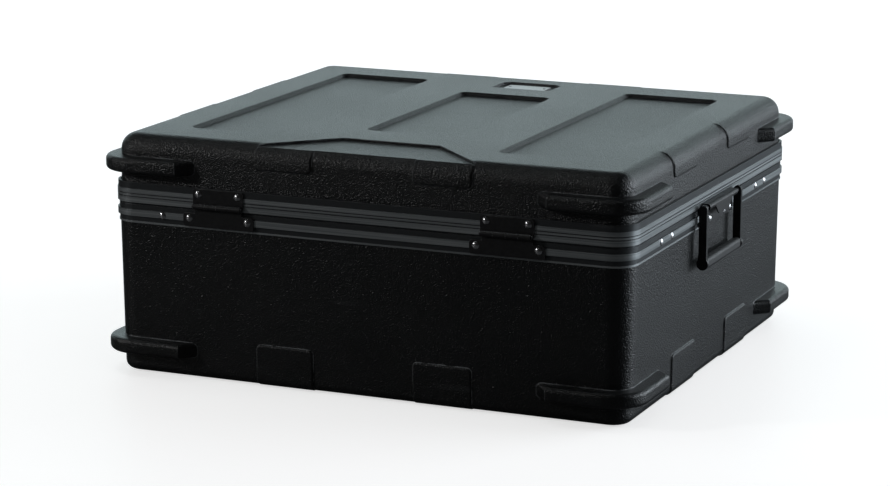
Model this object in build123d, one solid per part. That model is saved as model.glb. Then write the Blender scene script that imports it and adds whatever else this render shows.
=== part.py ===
"""Moulded mixer case with a hinged lid, as separate solids in one shared frame.

Millimetres. X runs along the hinge side, the latches face -Y, the hinges are
on +Y and +Z is up. The origin lies on the floor under the middle of the case.
Each node is written to parts/NODE.step.
"""
import os

from build123d import *

os.makedirs("parts", exist_ok=True)

# How far a cut runs past a face, and how far joined bodies overlap.
over = 1.0

# Aluminium rings that edge the case: outside length, width and corner radius.
ring_l = 610.0
ring_w = 541.0
ring_r = 28.0
parting_z = 192.4
lower_ring_h = 21.1
upper_ring_h = 24.0
parting_gap = 0.3

# Ring section: how far each band of the outer face is set back.
band_setback = 0.0
lip_setback = 1.4
groove_setback = 2.0
parting_setback = 1.8
lower_lip_h = 2.2
lower_groove_h = 5.4
lower_band_h = 7.4
upper_relief_h = 1.4
upper_band_h = 15.2
upper_lip_setback = 0.8
seam_w = 1.0
seam_depth = 2.0
parting_seam_h = 0.7
parting_seam_depth = 1.2
line_depth = 0.8
line_h = 0.9
line_heights = (7.5, 10.8)
ring_web = 3.4
inner_leg = 2.0
inner_leg_drop = 19.0
rim_clear = 0.1

# Tongue on the upper ring and groove in the lower ring.
tongue_w = 2.2
tongue_h = 1.2
groove_clear = 1.2
groove_floor_clear = 0.4
tongue_setback = 3.2

# Moulded shells.
wall = 3.7
base_setback = 2.8
base_draft = 2.3
floor_t = 4.0
base_edge_r = 9.3
base_inner_r = 6.0
lid_setback = 4.6
lid_draft = 0.8
lid_rise = 52.0
lid_roof = 4.0
lid_edge_r = 18.6
lid_inner_r = 14.0
rim_engage = 17.0

# Stacking pads under the base.
pad_h = 1.6
pad_inset = 6.0

# Corner bumpers moulded on both shells.
bumper_out = 12.0
bumper_r = 40.0
bumper_h = 16.5
bumper_edge_r = 5.0
bumper_embed = 2.5
bumper_x_full = 216.0
bumper_x_end = 196.5
bumper_y_full = 178.0
bumper_y_end = 158.5
base_bumper_z = 24.5
lid_bumper_z = 228.3

# Raised ribs that wrap the floor edge and the roof edge.
rib_proud = 2.2
rib_corner_r = 5.0
rib_side_pitch = 92.9
rib_side_half = 34.0
rib_end_pitch = 90.0
rib_end_half = 38.0
base_rib_top = 48.0
lid_rib_foot = 241.0
rib_edge_r = 2.0
rib_reach = 34.0

# Recessed panels in the roof.
panel_depth = 4.0
panel_slope = 45.0
panel_foot_r = 2.0
panel_brim_r = 2.4
notch_slope = 35.0
badge_slope = 20.0
panel_r = 9.0
side_panel_in = 127.0
side_panel_out = 241.0
side_panel_half = 200.0
mid_panel_half = 56.5
mid_panel_y_half = 136.0
notch_top_half = 57.5
notch_foot_half = 104.0
notch_top_y = 189.0
notch_foot_y = 235.5
notch_depth = 2.6
notch_line_w = 3.0
notch_line_depth = 1.2
badge_half = 37.0
badge_y_in = 179.0
badge_y_out = 223.5
badge_chamfer = 8.0
badge_depth = 3.0

# Bare nameplate and its two pins.
plate_half = 26.0
plate_y_half = 12.0
plate_t = 1.2
plate_r = 2.0
plate_pin_r = 1.2
plate_pin_head_r = 1.8
plate_pin_head_h = 0.6
plate_pin_inset = 4.0
plate_pin_dome_r = 0.48
plate_pin_hold = 2.0

# Foam lining.
foam_gap = 0.3
floor_foam_t = 24.0
side_foam_t = 25.0
side_foam_top = 170.0
lid_foam_t = 22.0
lid_foam_inset = 16.0

# Rivets.
rivet_r = 1.6
rivet_head_r = 4.3
rivet_head_h = 1.8
rivet_grip = 8.2

# Hinges.
hinge_pitch = 168.8
leaf_t = 1.6
barrel_r = 3.4
hinge_pin_r = 1.5
hinge_run_fit = 0.05
hinge_axis_z = 197.0
hinge_axis_out = 3.8
leaf_clear = 0.4
knuckle_gap = 0.3
knuckle_count = 4
barrel_half = 28.5
upper_leaf_half = 30.3
upper_leaf_top = 216.0
lower_leaf_half = 42.6
lower_leaf_foot = 173.9
lower_leaf_shoulder = 188.8
leaf_corner_r = 3.0
hinge_pin_head_r = 2.4
hinge_pin_head_t = 1.2
upper_rivet_x = 23.7
upper_rivet_z = 210.0
lower_rivet_x = 35.2
lower_rivet_z = 183.0

# Loose rivets on the lower ring.
ring_rivet_z = 182.4
end_rivet_y = (144.5, 177.5)
joint_rivet_x = 238.0

# Bail handles.
handle_plate_half = 53.0
handle_plate_t = 2.0
handle_plate_foot = 172.8
handle_plate_top = 196.0
handle_plate_relief = 0.5
handle_axis_z = 195.0
handle_axis_out = 6.6
handle_rod_r = 2.2
handle_run_fit = 0.08
loop_r = 3.8
loop_half = 48.0
tongue_half = 17.6
tongue_top_half = 31.0
tongue_foot = 183.0
tongue_plate_t = 1.4
arm_half = 59.6
arm_t = 4.6
arm_depth = 9.0
arm_foot_r = 6.6
grip_z = 134.2
grip_h = 13.0
grip_depth = 10.4
grip_r = 4.4
crossbar_r = 2.6
handle_rivet_x = (24.0, 44.0)
handle_rivet_z = 177.8

# Key latches on the front.
latch_pitch = 168.8
case_half = 33.0
case_depth = 4.9
case_foot = 172.4
case_top = 190.8
case_r = 2.5
case_edge_r = 1.0
slot_half = 5.2
slot_foot = 178.4
slot_floor = 1.0
hasp_plate_half = 27.5
hasp_plate_t = 1.8
hasp_plate_foot = 199.2
hasp_plate_top = 216.0
hasp_axis_z = 208.0
hasp_axis_out = 4.8
hasp_barrel_r = 2.6
hasp_pin_r = 1.2
hasp_run_fit = 0.05
hasp_half = 10.5
hasp_t = 1.5
hasp_foot = 175.0
hasp_shoulder_drop = 1.0
hasp_knuckle_half = 6.0
hasp_end_knuckle = 8.0
staple_half = 3.6
staple_foot = 180.4
staple_top = 183.8
staple_tip = 1.3
staple_eye_r = 1.1
staple_eye_out = 3.1
hasp_rivet_x = 21.5
hasp_rivet_z = 206.2
case_rivet_x = 26.8
case_rivet_z = 181.6
plug_x = 16.4
plug_z = 182.1
plug_r = 3.6
plug_floor = 1.0
plug_run_fit = 0.08
plug_proud = 0.7
plug_edge_r = 0.3
key_slot_w = 0.9
key_slot_l = 4.6
key_slot_depth = 2.6
slide_x = -18.4
slide_z = 182.1
slide_half = 3.2
slide_h = 7.0
slide_t = 1.8
slide_r = 1.0
slide_travel = 4.0
slide_stem_half = 1.4
slide_stem_h = 3.0
slide_stem_depth = 3.4
slide_fit = 0.3
bolt_r = 0.8
bolt_end_x = -4.4
bolt_fit = 0.25
case_recess = 0.3

# Heights that follow from the values above.
lower_ring_z = parting_z - lower_ring_h
upper_ring_z = parting_z + parting_gap
upper_ring_top = parting_z + upper_ring_h
lid_top = upper_ring_top + lid_rise
half_l = ring_l / 2
half_w = ring_w / 2
base_rim_top = parting_z - ring_web - rim_clear
base_rim_foot = base_rim_top - rim_engage
lid_rim_foot = upper_ring_z + ring_web + rim_clear
roof_inside = lid_top - lid_roof
floor_top = pad_h + floor_t
plate_mid_y = (badge_y_in + badge_y_out) / 2


def outline(setback, height):
    """Rounded outline of the case, set back from the ring face, at one height."""
    shape = RectangleRounded(ring_l - 2 * setback, ring_w - 2 * setback, ring_r - setback)
    return Pos(0, 0, height) * shape


def band(z0, z1, outer, inner):
    """Closed band around the case between two heights and two setbacks."""
    face = outline(outer, z0) - outline(inner, z0)
    return extrude(face, amount=z1 - z0)


def box_between(x0, x1, y0, y1, z0, z1):
    """Box given by its two opposite corners."""
    size = Box(x1 - x0, y1 - y0, z1 - z0)
    return Pos((x0 + x1) / 2, (y0 + y1) / 2, (z0 + z1) / 2) * size


def plate_upright(half, z0, z1, y0, y1, radius):
    """Upright plate with rounded corners, its thickness along Y."""
    face = Pos(0, (z0 + z1) / 2) * RectangleRounded(2 * half, z1 - z0, radius)
    return Pos(0, y1, 0) * extrude(Plane.XZ * face, amount=y1 - y0)


def rod_x(x0, x1, y, z, radius):
    """Round rod along X."""
    rod = Cylinder(radius, x1 - x0)
    return Pos((x0 + x1) / 2, y, z) * Rot(0, 90, 0) * rod


def rod_y(x, y0, y1, z, radius):
    """Round rod along Y."""
    rod = Cylinder(radius, y1 - y0)
    return Pos(x, (y0 + y1) / 2, z) * Rot(90, 0, 0) * rod


def on_side(shape, side):
    """Put a piece drawn on the +Y ring face onto one side of the case."""
    turn = {"back": 0, "left": 90, "front": 180, "right": -90}[side]
    reach = half_w if side in ("back", "front") else half_l
    return Rot(0, 0, turn) * Pos(0, reach, 0) * shape


def rivet():
    """Domed rivet along +Y, its head seated at y = 0."""
    dome_r = (rivet_head_r ** 2 + rivet_head_h ** 2) / (2 * rivet_head_h)
    reach = rivet_head_r
    head = Pos(0, rivet_head_h - dome_r, 0) * Rot(-90, 0, 0) * Sphere(dome_r)
    head &= box_between(-reach, reach, 0, rivet_head_h, -reach, reach)
    return head + rod_y(0, -rivet_grip, 0, 0, rivet_r)


def rivet_spots_lower():
    """Places of the rivets that stay with the base: side, x, seat, z."""
    spots = []
    for s in (-1, 1):
        for t in (-1, 1):
            spots.append(("back", s * hinge_pitch + t * lower_rivet_x, leaf_t, lower_rivet_z))
            spots.append(("front", s * latch_pitch + t * case_rivet_x, case_depth, case_rivet_z))
    spots.append(("back", joint_rivet_x, band_setback, ring_rivet_z))
    for side in ("left", "right"):
        for y in end_rivet_y:
            for s in (-1, 1):
                spots.append((side, s * y, band_setback, ring_rivet_z))
    for side in ("left", "right", "front"):
        for x in handle_rivet_x:
            for s in (-1, 1):
                spots.append((side, s * x, handle_plate_t, handle_rivet_z))
    return spots


def rivet_spots_upper():
    """Places of the rivets that ride with the lid."""
    spots = []
    for s in (-1, 1):
        for t in (-1, 1):
            spots.append(("back", s * hinge_pitch + t * upper_rivet_x, leaf_t, upper_rivet_z))
            spots.append(("front", s * latch_pitch + t * hasp_rivet_x, hasp_plate_t, hasp_rivet_z))
    return spots


def rivets(spots):
    """Group of separate rivets at the given places."""
    return Compound(children=[on_side(Pos(x, y, z) * rivet(), side) for side, x, y, z in spots])


def rivet_holes(spots):
    """Round holes that the rivet shanks fill."""
    return [on_side(rod_y(x, y - rivet_grip, y + over, z, rivet_r), side) for side, x, y, z in spots]


def lower_ring():
    """Lower ring: grips the base rim from above and carries the groove."""
    z = lower_ring_z
    leg = base_setback - rim_clear
    ring = band(z, z + lower_lip_h, lip_setback, leg)
    z += lower_lip_h
    ring += band(z, z + lower_groove_h, groove_setback, leg)
    z += lower_groove_h
    ring += band(z, z + lower_band_h, band_setback, leg)
    z += lower_band_h
    ring += band(z, parting_z - ring_web, parting_setback, leg)
    inner = base_setback + wall + rim_clear
    seam_foot = parting_z - parting_seam_h
    ring += band(parting_z - ring_web, seam_foot, parting_setback, inner + inner_leg)
    ring += band(seam_foot, parting_z, parting_setback + parting_seam_depth, inner + inner_leg)
    ring += band(parting_z - inner_leg_drop, parting_z, inner, inner + inner_leg)
    groove_out = tongue_setback - groove_clear + parting_setback
    groove_in = groove_out + tongue_w + 2 * groove_clear
    floor = parting_z - tongue_h + parting_gap - groove_floor_clear
    ring -= band(floor, parting_z + over, groove_out, groove_in)
    for hole in rivet_holes(rivet_spots_lower()):
        ring -= hole
    return ring


def upper_ring():
    """Upper ring: grips the lid rim from below and carries the tongue."""
    z = upper_ring_z
    leg = lid_setback - rim_clear
    band_foot = z + upper_relief_h
    band_top = band_foot + upper_band_h
    ring = band(z, band_foot, parting_setback, leg)
    ring += band(band_foot, band_top, band_setback, leg)
    seam_foot = upper_ring_top - seam_depth
    ring += band(band_top, seam_foot, upper_lip_setback, leg)
    ring += band(seam_foot, upper_ring_top, upper_lip_setback, leg - seam_w)
    inner = lid_setback + wall + rim_clear
    ring += band(z, z + ring_web, parting_setback, inner + inner_leg)
    ring += band(z, z + inner_leg_drop, inner, inner + inner_leg)
    for rise in line_heights:
        ring -= band(z + rise, z + rise + line_h, -over, line_depth)
    tongue_out = tongue_setback + parting_setback
    ring += band(z - tongue_h, z, tongue_out, tongue_out + tongue_w)
    for hole in rivet_holes(rivet_spots_upper()):
        ring -= hole
    return ring


def corner_bumper(z0, wall_setback):
    """Ledge around one corner, its two ends cut as wedges."""
    out_x = half_l + bumper_out
    out_y = half_w + bumper_out
    in_x = half_l - wall_setback - bumper_embed
    in_y = half_w - wall_setback - bumper_embed
    outer = RectangleRounded(2 * out_x, 2 * out_y, bumper_r)
    inner = RectangleRounded(2 * in_x, 2 * in_y, ring_r - wall_setback - bumper_embed)
    mask = Polygon(
        (bumper_x_end, in_y - over),
        (bumper_x_full, out_y),
        (bumper_x_full, out_y + over),
        (out_x + over, out_y + over),
        (out_x + over, bumper_y_full),
        (out_x, bumper_y_full),
        (in_x - over, bumper_y_end),
        align=None,
    )
    ledge = extrude(Pos(0, 0, z0) * ((outer - inner) & mask), amount=bumper_h)
    rim = [
        e
        for e in ledge.edges().group_by(Axis.Z)[0] + ledge.edges().group_by(Axis.Z)[-1]
        if e.center().X > half_l + over or e.center().Y > half_w + over
    ]
    return fillet(rim, bumper_edge_r)


def four_corners(shape):
    """The piece drawn in the +X +Y corner, at all four corners."""
    twin = mirror(shape, about=Plane.YZ)
    return [shape, twin, mirror(shape, about=Plane.XZ), mirror(twin, about=Plane.XZ)]


def base_form(grow):
    """Outside form of the base below its rim, grown outward by a distance."""
    top = outline(base_setback - grow, base_rim_foot)
    foot = outline(base_setback + base_draft - grow, pad_h)
    form = loft([foot, top])
    return fillet(form.edges().group_by(Axis.Z)[0], base_edge_r)


def lid_form(grow):
    """Outside form of the lid above its rim, grown outward by a distance."""
    foot = outline(lid_setback - grow, upper_ring_top - over)
    top = outline(lid_setback + lid_draft - grow, lid_top)
    form = loft([foot, top])
    return fillet(form.edges().group_by(Axis.Z)[-1], lid_edge_r)


def rib_masks(z0, z1):
    """Rounded blocks that mark where the ribs stand on all four sides."""
    masks = []
    for s in (-1, 1):
        side_block = plate_upright(rib_side_half, z0, z1, -rib_reach, over, rib_corner_r)
        end_block = plate_upright(rib_end_half, z0, z1, -rib_reach, over, rib_corner_r)
        for side in ("back", "front"):
            masks.append(on_side(Pos(s * rib_side_pitch, 0, 0) * side_block, side))
        for side in ("left", "right"):
            masks.append(on_side(Pos(s * rib_end_pitch, 0, 0) * end_block, side))
    return masks


def soft_rib(form, mask):
    """One rib: the part of a grown form inside a mask, its proud edges rounded."""
    rib = form & mask
    deep_x = half_l - rib_reach + over
    deep_y = half_w - rib_reach + over
    proud = [e for e in rib.edges() if abs(e.center().X) > deep_x or abs(e.center().Y) > deep_y]
    return fillet(proud, rib_edge_r)


def base_shell():
    """Base tub with ribs, bumpers and stacking pads."""
    shell = base_form(0)
    shell += extrude(outline(base_setback, base_rim_foot), amount=base_rim_top - base_rim_foot)
    grown = base_form(rib_proud)
    for mask in rib_masks(-rib_reach, base_rib_top):
        shell += soft_rib(grown, mask)
    for bumper in four_corners(corner_bumper(base_bumper_z, base_setback + base_draft)):
        shell += bumper
    for pad in roof_panels(pad_inset):
        shell += extrude(pad, amount=pad_h + over)
    inside_top = outline(base_setback + wall, base_rim_foot)
    inside_foot = outline(base_setback + base_draft + wall, floor_top)
    inside = loft([inside_foot, inside_top])
    inside = fillet(inside.edges().group_by(Axis.Z)[0], base_inner_r)
    inside += extrude(inside_top, amount=rim_engage + over)
    shell -= inside
    for hole in rivet_holes(rivet_spots_lower()):
        shell -= hole
    return shell


def roof_panels(shrink):
    """Outlines of the three long panels, shrunk by a margin."""
    side_w = side_panel_out - side_panel_in - 2 * shrink
    side_mid = (side_panel_in + side_panel_out) / 2
    side = RectangleRounded(side_w, 2 * (side_panel_half - shrink), panel_r)
    middle = RectangleRounded(2 * (mid_panel_half - shrink), 2 * (mid_panel_y_half - shrink), panel_r)
    return [Pos(-side_mid, 0) * side, middle, Pos(side_mid, 0) * side]


def notch_outline(margin):
    """Trapezoid step that opens onto the hinge side of the roof."""
    top = notch_top_y - margin
    reach = half_w
    spread = notch_foot_half + (reach - notch_foot_y)
    return Polygon(
        (-notch_top_half - margin, top),
        (notch_top_half + margin, top),
        (spread + margin, reach),
        (-spread - margin, reach),
        align=None,
    )


def badge_outline(margin):
    """Nameplate recess at the front, with two cut corners."""
    x = badge_half + margin
    y0 = -badge_y_in + margin
    y1 = -badge_y_out - margin
    c = badge_chamfer
    return Polygon((-x, y1 + c), (-x + c, y1), (x - c, y1), (x, y1 + c), (x, y0), (-x, y0), align=None)


def sunk_panel(shell, panel):
    """The shell with one panel sunk into its roof, the foot and the brim rounded."""
    cut = extrude(Pos(0, 0, lid_top) * panel, amount=-panel_depth, taper=panel_slope)
    cut = fillet(cut.edges().group_by(Axis.Z)[0], panel_foot_r)
    shell -= cut
    low = cut.bounding_box().min
    high = cut.bounding_box().max
    brim = [
        e
        for e in shell.edges().group_by(Axis.Z)[-1]
        if low.X - over < e.center().X < high.X + over and low.Y - over < e.center().Y < high.Y + over
    ]
    return fillet(brim, panel_brim_r)


def lid_shell():
    """Lid with ribs, bumpers, recessed roof panels and a nameplate recess."""
    shell = lid_form(0)
    shell += extrude(outline(lid_setback, lid_rim_foot), amount=upper_ring_top - lid_rim_foot)
    grown = lid_form(rib_proud)
    for mask in rib_masks(lid_rib_foot, lid_top + rib_reach):
        shell += soft_rib(grown, mask)
    for bumper in four_corners(corner_bumper(lid_bumper_z, lid_setback + lid_draft)):
        shell += bumper
    for panel in roof_panels(0):
        shell = sunk_panel(shell, panel)
    shell -= extrude(Pos(0, 0, lid_top) * notch_outline(0), amount=-notch_depth, taper=notch_slope)
    line = notch_outline(0) - notch_outline(-notch_line_w)
    shell -= extrude(Pos(0, 0, lid_top) * line, amount=-notch_depth - notch_line_depth)
    shell -= extrude(Pos(0, 0, lid_top) * badge_outline(0), amount=-badge_depth, taper=badge_slope)
    foot = outline(lid_setback + wall, upper_ring_top)
    top = outline(lid_setback + lid_draft + wall, roof_inside)
    inside = loft([foot, top])
    inside = fillet(inside.edges().group_by(Axis.Z)[-1], lid_inner_r)
    rim_foot = lid_rim_foot - over
    inside += extrude(outline(lid_setback + wall, rim_foot), amount=upper_ring_top - rim_foot)
    for panel in roof_panels(-wall):
        inside -= extrude(Pos(0, 0, roof_inside - panel_depth) * panel, amount=panel_depth + over)
    inside -= extrude(Pos(0, 0, roof_inside - badge_depth) * badge_outline(wall), amount=badge_depth + over)
    inside -= extrude(Pos(0, 0, roof_inside - notch_depth) * notch_outline(wall), amount=notch_depth + over)
    shell -= inside
    for x in (-1, 1):
        hole = Cylinder(plate_pin_r, 2 * plate_pin_hold)
        shell -= Pos(x * (plate_half - plate_pin_inset), -plate_mid_y, lid_top - badge_depth) * hole
    for hole in rivet_holes(rivet_spots_upper()):
        shell -= hole
    return shell


def nameplate():
    """Bare plate in the front recess of the roof."""
    face = RectangleRounded(2 * plate_half, 2 * plate_y_half, plate_r)
    plate = extrude(Pos(0, -plate_mid_y, lid_top - badge_depth) * face, amount=plate_t)
    for x in (-1, 1):
        hole = Cylinder(plate_pin_r, 2 * (badge_depth + over))
        plate -= Pos(x * (plate_half - plate_pin_inset), -plate_mid_y, lid_top) * hole
    return plate


def nameplate_pins():
    """Two small pins that hold the nameplate."""
    seat = lid_top - badge_depth + plate_t
    pins = []
    for x in (-1, 1):
        head = extrude(Circle(plate_pin_head_r), plate_pin_head_h)
        head = fillet(head.edges().group_by(Axis.Z)[-1], plate_pin_dome_r)
        shank = extrude(Circle(plate_pin_r), -plate_t - plate_pin_hold)
        pins.append(Pos(x * (plate_half - plate_pin_inset), -plate_mid_y, seat) * (head + shank))
    return Compound(children=pins)


def floor_foam():
    """Foam pad on the floor of the base."""
    setback = base_setback + base_draft + wall + foam_gap
    pad = extrude(outline(setback, floor_top + foam_gap), amount=floor_foam_t)
    return fillet(pad.edges().group_by(Axis.Z)[0], base_inner_r)


def long_foam(s):
    """Foam slab along the front or the back wall."""
    setback = base_setback + base_draft + wall + foam_gap
    z0 = floor_top + 2 * foam_gap + floor_foam_t
    y1 = half_w - setback
    x1 = half_l - setback
    slab = box_between(-x1, x1, y1 - side_foam_t, y1, z0, side_foam_top)
    corners = slab.edges().filter_by(Axis.Z).sort_by(Axis.Y)[-2:]
    slab = fillet(corners, ring_r - setback)
    return slab if s > 0 else mirror(slab, about=Plane.XZ)


def short_foam(s):
    """Foam slab along one end wall, between the long slabs."""
    setback = base_setback + base_draft + wall + foam_gap
    z0 = floor_top + 2 * foam_gap + floor_foam_t
    x1 = half_l - setback
    y1 = half_w - setback - side_foam_t - foam_gap
    slab = box_between(x1 - side_foam_t, x1, -y1, y1, z0, side_foam_top)
    return slab if s > 0 else mirror(slab, about=Plane.YZ)


def lid_foam():
    """Foam pad glued under the roof of the lid."""
    z1 = roof_inside - panel_depth - foam_gap
    face = outline(lid_setback + lid_draft + wall + lid_foam_inset, z1 - lid_foam_t)
    return extrude(face, amount=lid_foam_t)


def knuckles(first):
    """Spans along X of every second barrel segment of a hinge."""
    step = 2 * barrel_half / knuckle_count
    spans = []
    for i in range(first, knuckle_count, 2):
        x0 = -barrel_half + i * step
        spans.append((x0 + knuckle_gap / 2, x0 + step - knuckle_gap / 2))
    return spans


def leaf_barrel(spans, bore):
    """Barrel segments of one leaf with their bore."""
    segments = []
    for x0, x1 in spans:
        tube = rod_x(x0, x1, hinge_axis_out, hinge_axis_z, barrel_r)
        segments.append(tube - rod_x(x0 - over, x1 + over, hinge_axis_out, hinge_axis_z, bore))
    return segments


def hinge_clear(spans):
    """Space around the barrel segments of the other leaf."""
    radius = barrel_r + knuckle_gap
    cuts = []
    for x0, x1 in spans:
        cuts.append(rod_x(x0 - knuckle_gap, x1 + knuckle_gap, hinge_axis_out, hinge_axis_z, radius))
    return cuts


def lower_leaf():
    """Wide hinge leaf that stays on the lower ring."""
    leaf = plate_upright(lower_leaf_half, lower_leaf_foot, lower_leaf_shoulder, 0, leaf_t, leaf_corner_r)
    neck_foot = lower_leaf_shoulder - leaf_corner_r
    leaf += box_between(-barrel_half, barrel_half, leaf_clear, leaf_t, neck_foot, hinge_axis_z)
    own = knuckles(0)
    for cut in hinge_clear(knuckles(1)):
        leaf -= cut
    for segment in leaf_barrel(own, hinge_pin_r):
        leaf += segment
    leaf -= rod_x(-barrel_half - over, barrel_half + over, hinge_axis_out, hinge_axis_z, hinge_pin_r)
    for x in (-lower_rivet_x, lower_rivet_x):
        leaf -= rod_y(x, -over, leaf_t + over, lower_rivet_z, rivet_r)
    return leaf


def upper_leaf():
    """Narrow hinge leaf that rides with the lid."""
    foot = hinge_axis_z
    leaf = plate_upright(upper_leaf_half, foot - leaf_corner_r, upper_leaf_top, 0, leaf_t, leaf_corner_r)
    reach = upper_leaf_half + over
    leaf -= box_between(-reach, reach, -over, leaf_t + over, foot - 2 * leaf_corner_r, foot)
    for cut in hinge_clear(knuckles(0)):
        leaf -= cut
    bore = hinge_pin_r + hinge_run_fit
    for segment in leaf_barrel(knuckles(1), bore):
        leaf += segment
    leaf -= rod_x(-barrel_half - over, barrel_half + over, hinge_axis_out, hinge_axis_z, bore)
    for s in (-1, 1):
        x = s * (barrel_half + upper_leaf_half + over) / 2
        half_cut = (upper_leaf_half + over - barrel_half) / 2
        head_clear = hinge_pin_head_r + knuckle_gap
        leaf -= rod_x(x - half_cut, x + half_cut, hinge_axis_out, hinge_axis_z, head_clear)
    for x in (-upper_rivet_x, upper_rivet_x):
        leaf -= rod_y(x, -over, leaf_t + over, upper_rivet_z, rivet_r)
    return leaf


def hinge_pin():
    """Hinge pin with a flat head at both ends."""
    pin = rod_x(-barrel_half, barrel_half, hinge_axis_out, hinge_axis_z, hinge_pin_r)
    for s in (-1, 1):
        x0 = s * barrel_half
        x1 = s * (barrel_half + hinge_pin_head_t)
        pin += rod_x(min(x0, x1), max(x0, x1), hinge_axis_out, hinge_axis_z, hinge_pin_head_r)
    return pin


def handle_plate():
    """Riveted plate whose rolled top carries the bail."""
    half = handle_plate_half
    plate = plate_upright(half, handle_plate_foot, handle_plate_top, 0, handle_plate_t, leaf_corner_r)
    plate -= box_between(-half - over, half + over, -over, handle_plate_relief,
                         parting_z - over, handle_plate_top + over)
    plate += rod_x(-loop_half, loop_half, handle_axis_out, handle_axis_z, loop_r)
    roll_top = handle_axis_z + loop_r
    plate += box_between(-loop_half, loop_half, handle_plate_t / 2, handle_axis_out, handle_axis_z, roll_top)
    front = handle_axis_out + loop_r
    flap = Polygon(
        (-tongue_top_half, handle_axis_z),
        (-tongue_half, tongue_foot),
        (tongue_half, tongue_foot),
        (tongue_top_half, handle_axis_z),
        align=None,
    )
    plate += Pos(0, front, 0) * extrude(Plane.XZ * flap, amount=tongue_plate_t)
    bore = handle_rod_r + handle_run_fit
    plate -= rod_x(-loop_half - over, loop_half + over, handle_axis_out, handle_axis_z, bore)
    for x in handle_rivet_x:
        for s in (-1, 1):
            plate -= rod_y(s * x, -over, handle_plate_t + over, handle_rivet_z, rivet_r)
    return plate


def bail():
    """Steel bail: pivot rod, two flat arms and a crossbar."""
    rod_end = arm_half - arm_t / 2
    frame = rod_x(-rod_end - over, rod_end + over, handle_axis_out, handle_axis_z, handle_rod_r)
    frame += rod_x(-rod_end - over, rod_end + over, handle_axis_out, grip_z, crossbar_r)
    for s in (-1, 1):
        x0 = s * arm_half - arm_t / 2
        x1 = x0 + arm_t
        y0 = handle_axis_out - arm_depth / 2
        arm = box_between(x0, x1, y0, y0 + arm_depth, grip_z, handle_axis_z)
        arm += rod_x(x0, x1, handle_axis_out, handle_axis_z, arm_depth / 2)
        arm += rod_x(x0, x1, handle_axis_out, grip_z, arm_foot_r)
        frame += arm
    return frame


def grip():
    """Moulded grip around the crossbar of the bail."""
    half = arm_half - arm_t / 2
    face = RectangleRounded(grip_depth, grip_h, grip_r)
    bar = Pos(-half, handle_axis_out, grip_z) * extrude(Plane.YZ * face, amount=2 * half)
    return bar - rod_x(-half - over, half + over, handle_axis_out, grip_z, crossbar_r)


def lock_case():
    """Lock housing on the lower ring, with staple slot, plug bore and button slot."""
    case = plate_upright(case_half, case_foot, case_top, 0, case_depth, case_r)
    outer = case.faces().sort_by(Axis.Y)[-1].edges()
    case = fillet(outer, case_edge_r)
    case -= box_between(-slot_half, slot_half, slot_floor, case_depth + over, slot_foot, case_top + over)
    case -= rod_y(plug_x, plug_floor, case_depth + over, plug_z, plug_r + plug_run_fit)
    stem_x = slide_stem_half + slide_fit
    stem_z = slide_stem_h / 2 + slide_fit
    case -= box_between(slide_x - stem_x, slide_x + slide_travel + stem_x,
                        case_depth - slide_stem_depth - slide_fit, case_depth + over,
                        slide_z - stem_z, slide_z + stem_z)
    case -= rod_x(slide_x, 0, staple_eye_out, slide_z, bolt_r + bolt_fit)
    for s in (-1, 1):
        case -= rod_y(s * case_rivet_x, -over, case_depth + over, case_rivet_z, rivet_r)
    return case


def key_plug():
    """Round key plug with its key slot."""
    plug = rod_y(plug_x, plug_floor + case_recess, case_depth + plug_proud, plug_z, plug_r)
    plug = fillet(plug.edges().sort_by(Axis.Y)[-1], plug_edge_r)
    top = case_depth + plug_proud
    half_slot = key_slot_l / 2
    plug -= box_between(plug_x - key_slot_w / 2, plug_x + key_slot_w / 2, top - key_slot_depth, top + over,
                        plug_z - half_slot, plug_z + half_slot)
    return plug


def bolt_slide():
    """Thumb slide with its stem and the bolt that enters the staple."""
    seat = case_depth + slide_fit
    cap = Pos(slide_x, 0, 0) * plate_upright(slide_half, slide_z - slide_h / 2, slide_z + slide_h / 2,
                                              seat, seat + slide_t, slide_r)
    stem = box_between(slide_x - slide_stem_half, slide_x + slide_stem_half,
                       case_depth - slide_stem_depth, seat + slide_t / 2,
                       slide_z - slide_stem_h / 2, slide_z + slide_stem_h / 2)
    bolt = rod_x(slide_x, bolt_end_x, staple_eye_out, slide_z, bolt_r)
    return cap + stem + bolt


def hasp_plate():
    """Plate on the upper ring with the two outer knuckles of the hasp."""
    plate = plate_upright(hasp_plate_half, hasp_plate_foot, hasp_plate_top, 0, hasp_plate_t, leaf_corner_r)
    near = hasp_knuckle_half + knuckle_gap
    far = near + hasp_end_knuckle
    for x0, x1 in ((near, far), (-far, -near)):
        plate += rod_x(x0, x1, hasp_axis_out, hasp_axis_z, hasp_barrel_r)
        root = hasp_axis_z - hasp_barrel_r
        plate += box_between(x0, x1, hasp_plate_t / 2, hasp_axis_out, root, hasp_axis_z)
    plate -= rod_x(-far - over, far + over, hasp_axis_out, hasp_axis_z, hasp_pin_r)
    for s in (-1, 1):
        plate -= rod_y(s * hasp_rivet_x, -over, hasp_plate_t + over, hasp_rivet_z, rivet_r)
    return plate


def hasp_pin():
    """Pin of one hasp."""
    far = hasp_knuckle_half + knuckle_gap + hasp_end_knuckle
    return rod_x(-far, far, hasp_axis_out, hasp_axis_z, hasp_pin_r)


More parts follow.
